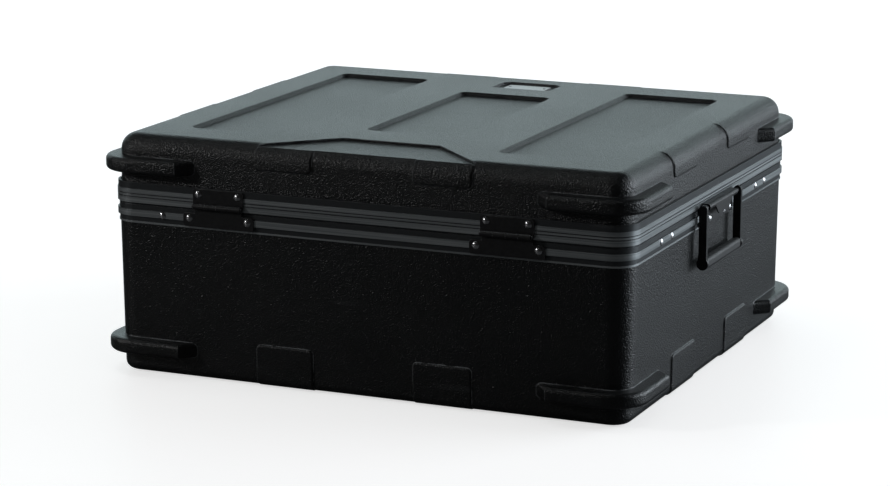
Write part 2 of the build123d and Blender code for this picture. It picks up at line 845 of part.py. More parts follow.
def hasp():
    """Swinging hasp with its knuckle and the staple behind it."""
    front = hasp_axis_out + hasp_barrel_r
    back = front - hasp_t
    shoulder = hasp_axis_z - hasp_barrel_r - hasp_shoulder_drop
    neck_foot = shoulder - leaf_corner_r
    body = plate_upright(hasp_half, hasp_foot, shoulder, back, front, leaf_corner_r)
    body += box_between(-hasp_knuckle_half, hasp_knuckle_half, back, front, neck_foot, hasp_axis_z)
    body += rod_x(-hasp_knuckle_half, hasp_knuckle_half, hasp_axis_out, hasp_axis_z, hasp_barrel_r)
    body += box_between(-staple_half, staple_half, staple_tip, back + hasp_t / 2, staple_foot, staple_top)
    eye_z = (staple_foot + staple_top) / 2
    body -= rod_x(-staple_half - over, staple_half + over, staple_eye_out, eye_z, staple_eye_r)
    return body - rod_x(-hasp_half, hasp_half, hasp_axis_out, hasp_axis_z, hasp_pin_r + hasp_run_fit)


def save(shape, node):
    """Write one node."""
    shape.label = node
    export_step(shape, f"parts/{node}.step")


def main():
    """Build and write every node."""
    save(base_shell(), "base_shell")
    save(lower_ring(), "lower_ring")
    save(floor_foam(), "floor_foam")
    save(long_foam(-1), "front_foam")
    save(long_foam(1), "back_foam")
    save(short_foam(-1), "left_foam")
    save(short_foam(1), "right_foam")
    save(lid_shell(), "lid_shell")
    save(upper_ring(), "upper_ring")
    save(lid_foam(), "lid_foam")
    save(nameplate(), "nameplate")
    save(nameplate_pins(), "nameplate_pins")
    save(rivets(rivet_spots_lower()), "base_rivets")
    save(rivets(rivet_spots_upper()), "lid_rivets")
    for name, s in (("a", -1), ("b", 1)):
        place = Pos(s * hinge_pitch, 0, 0)
        save(on_side(place * lower_leaf(), "back"), f"hinge_{name}_lower_leaf")
        save(on_side(place * upper_leaf(), "back"), f"hinge_{name}_upper_leaf")
        save(on_side(place * hinge_pin(), "back"), f"hinge_{name}_pin")
    for side in ("left", "right", "front"):
        save(on_side(handle_plate(), side), f"{side}_handle_plate")
        save(on_side(bail(), side), f"{side}_handle_bail")
        save(on_side(grip(), side), f"{side}_handle_grip")
    for name, s in (("a", -1), ("b", 1)):
        place = Pos(s * latch_pitch, 0, 0)
        save(on_side(place * lock_case(), "front"), f"latch_{name}_case")
        save(on_side(place * key_plug(), "front"), f"latch_{name}_plug")
        save(on_side(place * bolt_slide(), "front"), f"latch_{name}_slide")
        save(on_side(place * hasp_plate(), "front"), f"latch_{name}_plate")
        save(on_side(place * hasp_pin(), "front"), f"latch_{name}_pin")
        save(on_side(place * hasp(), "front"), f"latch_{name}_hasp")


main()
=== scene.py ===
"""Looks of a moulded mixer case: shells, edge rings, hinges, handles, latches and foam.

Metres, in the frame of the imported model: the hinges are on +Y, the latches on
-Y and +Z is up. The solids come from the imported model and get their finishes
here; the foam lining is made here as soft slabs.
"""

import logging
from dataclasses import dataclass, replace
from enum import Enum

import bpy
import numpy as np
from mathutils import Matrix, Vector


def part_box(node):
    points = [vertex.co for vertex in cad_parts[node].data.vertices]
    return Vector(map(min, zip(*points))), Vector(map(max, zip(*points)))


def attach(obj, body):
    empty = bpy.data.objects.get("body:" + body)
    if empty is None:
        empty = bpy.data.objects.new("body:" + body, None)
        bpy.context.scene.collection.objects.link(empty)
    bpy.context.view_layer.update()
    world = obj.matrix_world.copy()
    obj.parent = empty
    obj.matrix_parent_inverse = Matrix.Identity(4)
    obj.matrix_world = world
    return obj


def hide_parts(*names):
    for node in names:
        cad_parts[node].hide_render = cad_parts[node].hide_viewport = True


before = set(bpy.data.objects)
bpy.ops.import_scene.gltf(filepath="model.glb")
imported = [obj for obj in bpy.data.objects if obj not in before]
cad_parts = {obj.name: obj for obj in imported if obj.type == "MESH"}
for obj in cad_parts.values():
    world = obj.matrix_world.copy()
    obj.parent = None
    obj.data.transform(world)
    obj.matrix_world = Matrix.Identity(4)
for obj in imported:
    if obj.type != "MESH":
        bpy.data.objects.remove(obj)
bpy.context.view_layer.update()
log = logging.getLogger("mixer_case")

Colour = tuple[float, float, float]
Point = tuple[float, float, float]
Span = tuple[float, float]
Socket = bpy.types.NodeSocket
Amount = Socket | float
Tone = Socket | Colour

DUST_COLOUR: Colour = (0.22, 0.225, 0.23)
MIX_COLOUR_INPUTS = (6, 7)
MIX_COLOUR_OUTPUT = 2


class Grain(Enum):
    """Texture of a moulded surface, as the height of its fine specks over its pebbles."""

    PEBBLE = 1.30
    FINE = 0.8


class Lay(Enum):
    """Direction in which a metal was drawn, as the density of its lines along each axis."""

    ALONG = (5.0, 5.0, 900.0)
    NONE = (300.0, 300.0, 300.0)


class Graph:
    """A node tree that is filled node by node."""

    def __init__(self, tree: bpy.types.NodeTree) -> None:
        """Take over an empty node tree."""
        self.tree = tree

    def link(self, source: Socket, target: Socket) -> None:
        """Join an output socket to an input socket."""
        self.tree.links.new(source, target)

    def add(self, kind: str, inputs: dict | None = None, **settings) -> bpy.types.Node:
        """Add one node.

        Args:
            kind: The node's type, such as ShaderNodeMath.
            inputs: Values or outgoing sockets for the node's inputs, by name or index.
            settings: Values for the node's own properties.

        Returns:
            The new node.
        """
        node = self.tree.nodes.new(kind)
        for key, value in settings.items():
            setattr(node, key, value)
        for key, value in (inputs or {}).items():
            if isinstance(value, Socket):
                self.link(value, node.inputs[key])
            else:
                node.inputs[key].default_value = value
        return node

    def math(self, operation: str, *values: Amount, clamp: bool = False) -> Socket:
        """Add a Math node over the given values and return its result."""
        inputs = dict(enumerate(values))
        node = self.add("ShaderNodeMath", inputs, operation=operation, use_clamp=clamp)
        return node.outputs[0]

    def vector_math(self, operation: str, inputs: dict) -> bpy.types.Node:
        """Add a Vector Math node."""
        return self.add("ShaderNodeVectorMath", inputs, operation=operation)

    def ramp(self, value: Socket, low: Amount, high: Amount) -> Socket:
        """Add a smooth step of a value between two thresholds and return its result."""
        limits = {"Value": value, "From Min": low, "From Max": high}
        node = self.add("ShaderNodeMapRange", limits, interpolation_type="SMOOTHSTEP")
        return node.outputs["Result"]

    def noise(self, vector: Socket, scale: Amount, detail: float, roughness: float = 0.5) -> Socket:
        """Add a noise texture and return its grey value."""
        inputs = {"Vector": vector, "Scale": scale, "Detail": detail, "Roughness": roughness}
        return self.add("ShaderNodeTexNoise", inputs).outputs["Fac"]

    def blend(self, amount: Amount, first: Tone, second: Tone) -> Socket:
        """Mix two colours by an amount and return the result."""
        inputs = {"Factor": amount}
        for index, tone in zip(MIX_COLOUR_INPUTS, (first, second)):
            inputs[index] = tone if isinstance(tone, Socket) else (*tone, 1.0)
        node = self.add("ShaderNodeMix", inputs, data_type="RGBA")
        return node.outputs[MIX_COLOUR_OUTPUT]

    def bump(self, distance: float, height: Socket, normal: Socket | None = None) -> Socket:
        """Add a Bump node over a height, and over a normal if given; return its normal."""
        inputs = {"Strength": 1.0, "Distance": distance, "Height": height}
        if normal is not None:
            inputs["Normal"] = normal
        return self.add("ShaderNodeBump", inputs).outputs[0]

    def group(self, tree: bpy.types.NodeTree, inputs: dict) -> bpy.types.Node:
        """Place one shared node group with values for its inputs."""
        return self.add("ShaderNodeGroup", inputs, node_tree=tree)


def new_group(
    name: str, inputs: dict[str, object], outputs: dict[str, str]
) -> tuple[Graph, bpy.types.Node, bpy.types.Node]:
    """Make an empty shader node group with named sockets.

    Args:
        name: Name of the group.
        inputs: Default value of each input; a tuple makes a vector.
        outputs: Socket type of each output.

    Returns:
        The graph, the group's input node and the group's output node.
    """
    tree = bpy.data.node_groups.new(name, "ShaderNodeTree")
    for label, value in inputs.items():
        kind = "NodeSocketVector" if isinstance(value, tuple) else "NodeSocketFloat"
        socket = tree.interface.new_socket(label, in_out="INPUT", socket_type=kind)
        socket.default_value = value
    for label, kind in outputs.items():
        tree.interface.new_socket(label, in_out="OUTPUT", socket_type=kind)
    graph = Graph(tree)
    return graph, graph.add("NodeGroupInput"), graph.add("NodeGroupOutput")


def grain_group() -> bpy.types.NodeTree:
    """Group that gives the height of moulded pebbles and the specks between them."""
    wobble_scale, wobble_reach, colour_middle = 160.0, 0.0022, (0.5, 0.5, 0.5)
    dome_span, dome_share, dome_blur = (0.05, 0.75), 0.4, 0.35
    specks_per_cell = 1.25
    ins = {"Vector": (0.0, 0.0, 0.0), "Cells": 500.0, "Fine": 0.3}
    outs = {"Height": "NodeSocketFloat", "Pit": "NodeSocketFloat"}
    graph, given, out = new_group("moulded_grain", ins, outs)
    vector, density, speck_share = (given.outputs[key] for key in ins)
    wobble = {"Vector": vector, "Scale": wobble_scale, "Detail": 1.0}
    colour = graph.add("ShaderNodeTexNoise", wobble).outputs["Color"]
    centred = graph.vector_math("SUBTRACT", {0: colour, 1: colour_middle}).outputs[0]
    small = graph.vector_math("SCALE", {0: centred, "Scale": wobble_reach}).outputs[0]
    place = graph.vector_math("ADD", {0: vector, 1: small}).outputs[0]
    pebbles = {"Vector": place, "Scale": density, "Smoothness": dome_blur}
    cells = graph.add("ShaderNodeTexVoronoi", pebbles, feature="SMOOTH_F1")
    dome = graph.math("SUBTRACT", 1.0, graph.ramp(cells.outputs["Distance"], *dome_span))
    specks = graph.noise(vector, graph.math("MULTIPLY", density, specks_per_cell), 2.0)
    dome_height = graph.math("MULTIPLY", dome, dome_share)
    height = graph.math("ADD", dome_height, graph.math("MULTIPLY", specks, speck_share))
    graph.link(height, out.inputs["Height"])
    graph.link(graph.math("SUBTRACT", 1.0, dome), out.inputs["Pit"])
    return graph.tree


def rounded_edge_group() -> bpy.types.NodeTree:
    """Group that gives rounded-edge normals and a broken mask along the edges."""
    edge_span = (0.01, 0.22)
    patch_middle, patch_reach, patch_blur = 0.78, 0.5, 0.16
    ins = {"Vector": (0.0, 0.0, 0.0), "Radius": 0.0006, "Patch": 60.0, "Cover": 0.5}
    outs = {"Mask": "NodeSocketFloat", "Normal": "NodeSocketVector"}
    graph, given, out = new_group("edge_wear", ins, outs)
    vector, radius, patch_scale, cover = (given.outputs[key] for key in ins)
    soft = graph.add("ShaderNodeBevel", {"Radius": radius}, samples=4).outputs[0]
    flat = graph.add("ShaderNodeNewGeometry").outputs["Normal"]
    dot = graph.vector_math("DOT_PRODUCT", {0: soft, 1: flat}).outputs["Value"]
    edge = graph.ramp(graph.math("SUBTRACT", 1.0, dot), *edge_span)
    patch = graph.noise(vector, patch_scale, 4.0, roughness=0.7)
    low = graph.math("SUBTRACT", patch_middle, graph.math("MULTIPLY", cover, patch_reach))
    broken = graph.ramp(patch, low, graph.math("ADD", low, patch_blur))
    # For moulded finishes this mask lays a painted highlight along the edges, partly standing for
    # rubbed plastic; for metals it marks rubbed edges.
    graph.link(graph.math("MULTIPLY", edge, broken, clamp=True), out.inputs["Mask"])
    graph.link(soft, out.inputs["Normal"])
    return graph.tree


def dust_group() -> bpy.types.NodeTree:
    """Group that gives a thin uneven mask of dust on faces that look up."""
    up_span, drift_span, grit_span = (0.2, 0.98), (0.32, 0.7), (0.3, 0.75)
    drift_scale, grit_scale = 7.0, 420.0
    ins = {"Vector": (0.0, 0.0, 0.0), "Cover": 0.3}
    graph, given, out = new_group("settled_dust", ins, {"Mask": "NodeSocketFloat"})
    vector, cover = (given.outputs[key] for key in ins)
    normal = graph.add("ShaderNodeNewGeometry").outputs["Normal"]
    up = graph.ramp(graph.add("ShaderNodeSeparateXYZ", {0: normal}).outputs["Z"], *up_span)
    drifts = graph.ramp(graph.noise(vector, drift_scale, 5.0), *drift_span)
    grit = graph.ramp(graph.noise(vector, grit_scale, 1.0), *grit_span)
    lying = graph.math("MULTIPLY", up, graph.math("MULTIPLY", drifts, grit))
    graph.link(graph.math("MULTIPLY", lying, cover, clamp=True), out.inputs["Mask"])
    return graph.tree


def scuff_group() -> bpy.types.NodeTree:
    """Group that gives long faint rub marks in two directions."""
    tilts, stretch = ((0.12, 0.2, 0.4), (-0.27, 0.2, -0.9)), (9.0, 260.0, 120.0)
    mark_span, area_span, area_scale = (0.66, 0.74), (0.48, 0.66), 11.0
    ins = {"Vector": (0.0, 0.0, 0.0), "Cover": 0.3}
    graph, given, out = new_group("rub_marks", ins, {"Mask": "NodeSocketFloat"})
    vector, cover = (given.outputs[key] for key in ins)
    marks = []
    for tilt in tilts:
        turned = {"Vector": vector, "Rotation": tilt, "Scale": stretch}
        place = graph.add("ShaderNodeMapping", turned).outputs[0]
        marks.append(graph.ramp(graph.noise(place, 1.0, 2.0), *mark_span))
    area = graph.ramp(graph.noise(vector, area_scale, 2.0), *area_span)
    where = graph.math("MULTIPLY", area, cover)
    both = graph.math("MAXIMUM", *marks)
    graph.link(graph.math("MULTIPLY", both, where, clamp=True), out.inputs["Mask"])
    return graph.tree


class Effects:
    """The shared node groups, each built once."""

    def __init__(self) -> None:
        """Build every shared group."""
        self.grain = grain_group()
        self.rounded_edges = rounded_edge_group()
        self.dust = dust_group()
        self.scuff = scuff_group()


def blank_material(name: str) -> tuple[bpy.types.Material, Graph, bpy.types.Node]:
    """Make a material that holds one Principled shader and its output.

    Args:
        name: Name of the material.

    Returns:
        The material, its graph and its Principled shader.
    """
    material = bpy.data.materials.new(name)
    material.use_nodes = True
    material.node_tree.nodes.clear()
    graph = Graph(material.node_tree)
    shader = graph.add("ShaderNodeBsdfPrincipled")
    graph.add("ShaderNodeOutputMaterial", {"Surface": shader.outputs[0]})
    return material, graph, shader


@dataclass(frozen=True)
class MouldedFinish:
    """Black polyethylene with a moulded grain, rub marks, dust and pale edges that are partly
    rubbed plastic and partly a painted highlight.
    """

    name: str
    dark: Colour = (0.0016, 0.0020, 0.0023)
    light: Colour = (0.0034, 0.0041, 0.0046)
    # Pale tone of the rub marks and of the edges; on the edges it is partly rubbed plastic and
    # partly a painted highlight.
    edge_and_scuff_tone: Colour = (0.200, 0.215, 0.225)
    grain: Grain = Grain.PEBBLE
    cells: float = 510.0
    depth: float = 0.00072
    roughness: float = 0.27
    ior: float = 1.50
    edge_radius: float = 0.0018
    dust: float = 0.05
    scuff: float = 0.22
    edge_cover: float = 0.8
    pit_share: float = 0.5
    scuff_share: float = 0.15
    cloud_scale: float = 5.0
    cloud_span: Span = (0.3, 0.7)
    cloud_roughness: float = 0.10
    dust_roughness: float = 0.35

    def build(self, effects: Effects) -> bpy.types.Material:
        """Build the material from the shared effects."""
        material, graph, shader = blank_material(self.name)
        coords = graph.add("ShaderNodeTexCoord").outputs["Object"]
        texture = {"Vector": coords, "Cells": self.cells, "Fine": self.grain.value}
        grain = graph.group(effects.grain, texture)
        edges = {"Vector": coords, "Radius": self.edge_radius, "Cover": self.edge_cover}
        rounded_edges = graph.group(effects.rounded_edges, edges)
        dust = graph.group(effects.dust, {"Vector": coords, "Cover": self.dust}).outputs["Mask"]
        scuff = graph.group(effects.scuff, {"Vector": coords, "Cover": self.scuff}).outputs["Mask"]
        cloud = graph.noise(coords, self.cloud_scale, 4.0)
        tone = graph.blend(graph.ramp(cloud, *self.cloud_span), self.dark, self.light)
        pits = graph.math("MULTIPLY", grain.outputs["Pit"], self.pit_share)
        tone = graph.blend(pits, tone, self.dark)
        # Painted highlight along the edges, broken into patches, partly standing for rubbed plastic
        # too.
        tone = graph.blend(rounded_edges.outputs["Mask"], tone, self.edge_and_scuff_tone)
        tone = graph.blend(graph.math("MULTIPLY", scuff, self.scuff_share), tone, self.edge_and_scuff_tone)
        tone = graph.blend(dust, tone, DUST_COLOUR)
        graph.link(tone, shader.inputs["Base Color"])
        uneven = graph.math("MULTIPLY", cloud, self.cloud_roughness)
        dusty = graph.math("MULTIPLY", dust, self.dust_roughness)
        rough = graph.math("ADD", graph.math("ADD", self.roughness, uneven), dusty, clamp=True)
        graph.link(rough, shader.inputs["Roughness"])
        shader.inputs["IOR"].default_value = self.ior
        relief = graph.bump(self.depth, grain.outputs["Height"], rounded_edges.outputs["Normal"])
        graph.link(relief, shader.inputs["Normal"])
        return material


@dataclass(frozen=True)
class MetalFinish:
    """Coated or plated metal that wears bright along its edges."""

    name: str
    dark: Colour
    light: Colour
    edge_and_scuff_tone: Colour = (0.40, 0.41, 0.42)
    metallic: float = 0.8
    roughness: float = 0.35
    lay: Lay = Lay.NONE
    lay_depth: float = 0.00002
    edge_radius: float = 0.0005
    edge_wear: float = 0.5
    edge_cover: float = 0.7
    edge_patches: float = 140.0
    scuff: float = 0.25
    scuff_share: float = 0.4
    dust: float = 0.06
    line_span: Span = (0.3, 0.7)
    line_roughness: float = 0.12
    # Painted shade for the recesses between the raised bands.
    recess_shade: Colour = (0.055, 0.059, 0.062)
    bands: tuple[Span, ...] = ()
    band_blur: float = 0.0003

    def shade_recesses(self, graph: Graph, coords: Socket, tone: Socket) -> Socket:
        """Paint shade on the recesses, outside the raised bands of the section.

        Args:
            graph: Graph of the material.
            coords: Object coordinates.
            tone: Colour on the raised bands.

        Returns:
            The colour with painted shade on the recesses.
        """
        height = graph.add("ShaderNodeSeparateXYZ", {"Vector": coords}).outputs["Z"]
        raised = 0.0
        for low, high in self.bands:
            above = graph.ramp(height, low - self.band_blur, low + self.band_blur)
            below = graph.ramp(height, high + self.band_blur, high - self.band_blur)
            raised = graph.math("MAXIMUM", raised, graph.math("MULTIPLY", above, below))
        # Painted shade: outside the raised bands the tone gives way to a dark colour.
        return graph.blend(raised, self.recess_shade, tone)

    def build(self, effects: Effects) -> bpy.types.Material:
        """Build the material from the shared effects."""
        material, graph, shader = blank_material(self.name)
        coords = graph.add("ShaderNodeTexCoord").outputs["Object"]
        edges = {"Radius": self.edge_radius, "Patch": self.edge_patches, "Cover": self.edge_cover}
        rounded_edges = graph.group(effects.rounded_edges, {"Vector": coords, **edges})
        scuff = graph.group(effects.scuff, {"Vector": coords, "Cover": self.scuff}).outputs["Mask"]
        dust = graph.group(effects.dust, {"Vector": coords, "Cover": self.dust}).outputs["Mask"]
        drawn = graph.add("ShaderNodeMapping", {"Vector": coords, "Scale": self.lay.value})
        lines = graph.noise(drawn.outputs["Vector"], 1.0, 3.0)
        tone = graph.blend(graph.ramp(lines, *self.line_span), self.dark, self.light)
        if self.bands:
            tone = self.shade_recesses(graph, coords, tone)
        rub = graph.math("MULTIPLY", rounded_edges.outputs["Mask"], self.edge_wear)
        marks = graph.math("MULTIPLY", scuff, self.scuff_share)
        tone = graph.blend(graph.math("MAXIMUM", rub, marks), tone, self.edge_and_scuff_tone)
        tone = graph.blend(dust, tone, DUST_COLOUR)
        graph.link(tone, shader.inputs["Base Color"])
        streaks = graph.math("MULTIPLY", lines, self.line_roughness)
        rough = graph.math("ADD", self.roughness, streaks, clamp=True)
        graph.link(rough, shader.inputs["Roughness"])
        shader.inputs["Metallic"].default_value = self.metallic
        relief = graph.bump(self.lay_depth, lines, rounded_edges.outputs["Normal"])
        graph.link(relief, shader.inputs["Normal"])
        return material


@dataclass(frozen=True)
class FoamFinish:
    """Open cell foam: a matte surface of small pits."""

    name: str
    dark: Colour = (0.020, 0.021, 0.023)
    light: Colour = (0.060, 0.062, 0.066)
    dusty: Colour = (0.16, 0.16, 0.165)
    cells: float = 900.0
    specks: float = 0.9
    depth: float = 0.0009
    dust: float = 0.12
    roughness: float = 0.95
    sheen: float = 0.25
    cloud_scale: float = 24.0
    cloud_span: Span = (0.4, 0.7)
    cloud_share: float = 0.3

    def build(self, effects: Effects) -> bpy.types.Material:
        """Build the material from the shared effects."""
        material, graph, shader = blank_material(self.name)
        coords = graph.add("ShaderNodeTexCoord").outputs["Object"]
        pores = {"Vector": coords, "Cells": self.cells, "Fine": self.specks}
        grain = graph.group(effects.grain, pores)
        dust = graph.group(effects.dust, {"Vector": coords, "Cover": self.dust})
        cloud = graph.ramp(graph.noise(coords, self.cloud_scale, 4.0), *self.cloud_span)
        tone = graph.blend(grain.outputs["Pit"], self.light, self.dark)
        tone = graph.blend(graph.math("MULTIPLY", cloud, self.cloud_share), tone, self.light)
        tone = graph.blend(dust.outputs["Mask"], tone, self.dusty)
        graph.link(tone, shader.inputs["Base Color"])
        shader.inputs["Roughness"].default_value = self.roughness
        shader.inputs["Sheen Weight"].default_value = self.sheen
        graph.link(graph.bump(self.depth, grain.outputs["Height"]), shader.inputs["Normal"])
        return material


BLACK_STEEL = MetalFinish(
    "black_steel", (0.006, 0.006, 0.0065), (0.010, 0.010, 0.011),
    metallic=0.2, roughness=0.36, edge_wear=0.55,
)
PIN_STEEL = MetalFinish(
    "pin_steel", (0.10, 0.10, 0.105), (0.16, 0.16, 0.165),
    metallic=1.0, roughness=0.3, edge_wear=0.6,
)


def dress(materials: dict[str, bpy.types.Material]) -> list[str]:
    """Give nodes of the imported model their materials.

    Args:
        materials: The material of each node, by the node's name.

    Returns:
        The names of the nodes.
    """
    for node, material in materials.items():
        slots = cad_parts[node].data.materials
        slots.clear()
        slots.append(material)
    return list(materials)


def new_object(name: str, data: bpy.types.ID) -> bpy.types.Object:
    """Make an object over the given data and put it in the scene."""
    thing = bpy.data.objects.new(name, data)
    bpy.context.scene.collection.objects.link(thing)
    return thing


def stack_of_loops(name: str, loops: np.ndarray) -> bpy.types.Object:
    """Make a closed skin over a stack of closed loops, capped at both ends.

    The skin is a function of two parameters: the loop's number and the place
    along it. Each cap is a fan to the mean point of its loop.

    Args:
        name: Name of the new object.
        loops: Points, shaped loops by points by three, the first loop lowest.

    Returns:
        The new object, its faces pointing outwards.
    """
    rows, count, _ = loops.shape
    caps = [loops[:1].mean(axis=1), loops[-1:].mean(axis=1)]
    points = np.concatenate([loops.reshape(-1, 3), *caps])
    here = np.arange(count)
    after = np.roll(here, -1)
    base = (np.arange(rows - 1) * count)[:, None]
    near, far = base + here, base + after
    quads = np.stack([near, far, far + count, near + count], axis=-1)
    foot = np.stack([after, here, np.full(count, rows * count)], axis=-1)
    top_row = (rows - 1) * count
    tip = np.full(count, rows * count + 1)
    head = np.stack([top_row + here, top_row + after, tip], axis=-1)
    faces = quads.reshape(-1, 4).tolist() + foot.tolist() + head.tolist()
    mesh = bpy.data.meshes.new(name)
    mesh.from_pydata(points.tolist(), [], faces)
    mesh.polygons.foreach_set("use_smooth", np.ones(len(mesh.polygons), bool))
    mesh.update()
    return new_object(name, mesh)


def rounded_outline(
    half_x: float, half_y: float, radius: float, per_corner: int, per_side: int
) -> np.ndarray:
    """Closed outline of a rectangle with round corners, centred on the origin.

    Each corner is a quarter circle about a point one radius inside both
    sides; the sides are straight runs between the quarters.

    Args:
        half_x: Half the width along the first axis.
        half_y: Half the width along the second axis.
        radius: Radius of the corners.
        per_corner: Points on each quarter circle.
        per_side: Points on each straight run.

    Returns:
        The points, one row each.
    """
    turn = np.linspace(0.0, np.pi / 2, per_corner)
    parts = []
    for k, (sx, sy) in enumerate(((1, 1), (-1, 1), (-1, -1), (1, -1))):
        angle = turn + k * np.pi / 2
        centre = np.array([sx * (half_x - radius), sy * (half_y - radius)])
        parts.append(centre + radius * np.stack([np.cos(angle), np.sin(angle)], axis=-1))
    closed = []
    for k, part in enumerate(parts):
        step = np.linspace(0.0, 1.0, per_side + 2)[1:-1, None]
        closed.append(part)
        closed.append(part[-1] + step * (parts[(k + 1) % 4][0] - part[-1]))
    return np.concatenate(closed)


@dataclass
class FoamSlab:
    """One soft slab of the lining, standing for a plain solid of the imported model."""

    node: str
    body: str
    thin_axis: int
    soft_edge: float = 0.006
    corner: float = 0.020
    crown: float = 0.0022
    waist: float = 0.0003
    waist_waves: float = 4.0
    corner_limit: float = 0.45
    hub: float = 0.05
    rim_rows: int = 7
    face_rows: int = 16
    corner_points: int = 12
    side_points: int = 24

    def build(self, material: bpy.types.Material) -> bpy.types.Object:
        """Build the slab.

        Across its thickness the outline grows along a quarter ellipse, stays
        full, and shrinks again; each face then closes to the middle with a
        slight crown of one minus the fourth power of the distance, and the
        rim rises and falls a little along the outline, as a sine.

        Args:
            material: The foam's finish.

        Returns:
            The slab, bound to its body.
        """
        low, high = (np.array(corner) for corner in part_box(self.node))
        axes = [axis for axis in range(3) if axis != self.thin_axis]
        middle = (low + high) / 2
        half = (high - low) / 2
        half_u, half_v, half_t = half[axes[0]], half[axes[1]], half[self.thin_axis]
        radius = min(self.corner, half_u * self.corner_limit, half_v * self.corner_limit)
        outline = rounded_outline(half_u, half_v, radius, self.corner_points, self.side_points)
        turn = np.linspace(0.0, np.pi / 2, self.rim_rows)
        flat = half_t - self.crown
        face_scale = np.linspace(self.hub, 1.0, self.face_rows)
        face_rise = flat + self.crown * (1.0 - face_scale ** 4)
        rim_inset = self.soft_edge * (1.0 - np.sin(turn[1:]))
        rim_rise = flat - self.soft_edge * (1.0 - np.cos(turn[1:]))
        halves = np.array([half_u, half_v])
        inner = outline * ((halves - self.soft_edge) / halves)
        face_loops = inner[None] * face_scale[:, None, None]
        share = (rim_inset / self.soft_edge)[:, None, None]
        rim_loops = outline[None] * (1.0 - share) + inner[None] * share
        upper = np.concatenate([face_loops, rim_loops])
        rise = np.concatenate([face_rise, rim_rise])
        along = np.linspace(0.0, 2 * np.pi, len(outline))
        wave = self.waist * np.sin(along * self.waist_waves)
        flat_loops = np.concatenate([upper, upper[::-1]])
        heights = np.concatenate([rise, -rise[::-1]])[::-1]
        points = np.zeros((len(flat_loops), len(outline), 3))
        points[:, :, axes[0]] = middle[axes[0]] + flat_loops[:, :, 0]
        points[:, :, axes[1]] = middle[axes[1]] + flat_loops[:, :, 1]
        edge = 1.0 - np.minimum(1.0, np.abs(heights)[:, None] / flat)
        lift = heights[:, None] + wave[None] * edge
        points[:, :, self.thin_axis] = middle[self.thin_axis] + lift
        if self.thin_axis == 1:
            points = points[:, ::-1]  # x to z turns the other way round y
        thing = stack_of_loops("soft_" + self.node, points)
        thing.data.materials.append(material)
        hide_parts(self.node)
        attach(thing, self.body)
        return thing


@dataclass
class FoamLining:
    """The foam that lines the base and the lid."""

    finish: FoamFinish = FoamFinish("lining_foam")
    slabs: tuple[FoamSlab, ...] = (
        FoamSlab("floor_foam", "base", 2),
        FoamSlab("front_foam", "base", 1),
        FoamSlab("back_foam", "base", 1),
        FoamSlab("left_foam", "base", 0, corner=0.006),
        FoamSlab("right_foam", "base", 0, corner=0.006),
        FoamSlab("lid_foam", "lid", 2),
    )

    def build(self, effects: Effects) -> list[str]:
        """Build every slab and return their names."""
        material = self.finish.build(effects)
        return [slab.build(material).name for slab in self.slabs]


@dataclass
class Shells:
    """The moulded tub and lid."""

    base_finish: MouldedFinish = MouldedFinish("base_polyethylene", depth=0.00050)
    lid_finish: MouldedFinish = MouldedFinish("lid_polyethylene")

    def build(self, effects: Effects) -> list[str]:
        """Dress both shells and return their names."""
        base, lid = self.base_finish.build(effects), self.lid_finish.build(effects)
        return dress({"base_shell": base, "lid_shell": lid})


@dataclass
class EdgeRings:
    """The two aluminium rings that meet when the case is shut.

    The bands are the raised parts of each section, as heights over the ring's lowest point; the
    recesses between them get a painted shade.
    """

    finish: MetalFinish = MetalFinish(
        "ring_aluminium", (0.20, 0.218, 0.224), (0.33, 0.350, 0.358),
        metallic=0.8, roughness=0.34, lay=Lay.ALONG, edge_wear=0.25,
    )
    lower_bands: tuple[Span, ...] = ((-0.001, 0.0020), (0.0078, 0.0148))
    upper_bands: tuple[Span, ...] = ((0.0027, 0.0085), (0.0097, 0.0118), (0.0130, 0.0177))

    def build(self, effects: Effects) -> list[str]:
        """Dress both rings and return their names."""
        bands = {"lower_ring": self.lower_bands, "upper_ring": self.upper_bands}
        materials = {}
        for ring, spans in bands.items():
            foot = min(vertex.co.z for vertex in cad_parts[ring].data.vertices)
            lifted = tuple((foot + low, foot + high) for low, high in spans)
            finish = replace(self.finish, name=f"{ring}_aluminium", bands=lifted)
            materials[ring] = finish.build(effects)
        return dress(materials)


@dataclass
class Hinges:
    """The two stamped hinges with their pins."""

    leaf_finish: MetalFinish = replace(BLACK_STEEL, name="hinge_black_steel")
    pin_finish: MetalFinish = replace(PIN_STEEL, name="hinge_pin_steel")

    def build(self, effects: Effects) -> list[str]:
        """Dress the leaves and pins and return their names."""
        leaf = self.leaf_finish.build(effects)
        materials = {"lower_leaf": leaf, "upper_leaf": leaf, "pin": self.pin_finish.build(effects)}
        return dress({
            f"hinge_{side}_{part}": material
            for side in ("a", "b") for part, material in materials.items()
        })


@dataclass
class BailHandles:
    """The three bail handles, each a plate, a bail and a grip."""

    plate_finish: MetalFinish = replace(
        BLACK_STEEL, name="handle_black_steel", roughness=0.4, edge_wear=0.5
    )
    bail_finish: MetalFinish = replace(
        BLACK_STEEL, name="bail_black_steel",
        dark=(0.005, 0.005, 0.0055), light=(0.009, 0.009, 0.010), roughness=0.33, edge_wear=0.4,
    )
    grip_finish: MouldedFinish = MouldedFinish(
        "grip_plastic", (0.012, 0.013, 0.014), (0.020, 0.022, 0.023),
        grain=Grain.FINE, cells=1500.0, depth=0.00006,
        roughness=0.5, edge_radius=0.0008, scuff=0.5,
    )

    def build(self, effects: Effects) -> list[str]:
        """Dress the handles and return their names."""
        materials = {
            "plate": self.plate_finish.build(effects),
            "bail": self.bail_finish.build(effects),
            "grip": self.grip_finish.build(effects),
        }
        return dress({
            f"{side}_handle_{part}": material
            for side in ("left", "right", "front") for part, material in materials.items()
        })


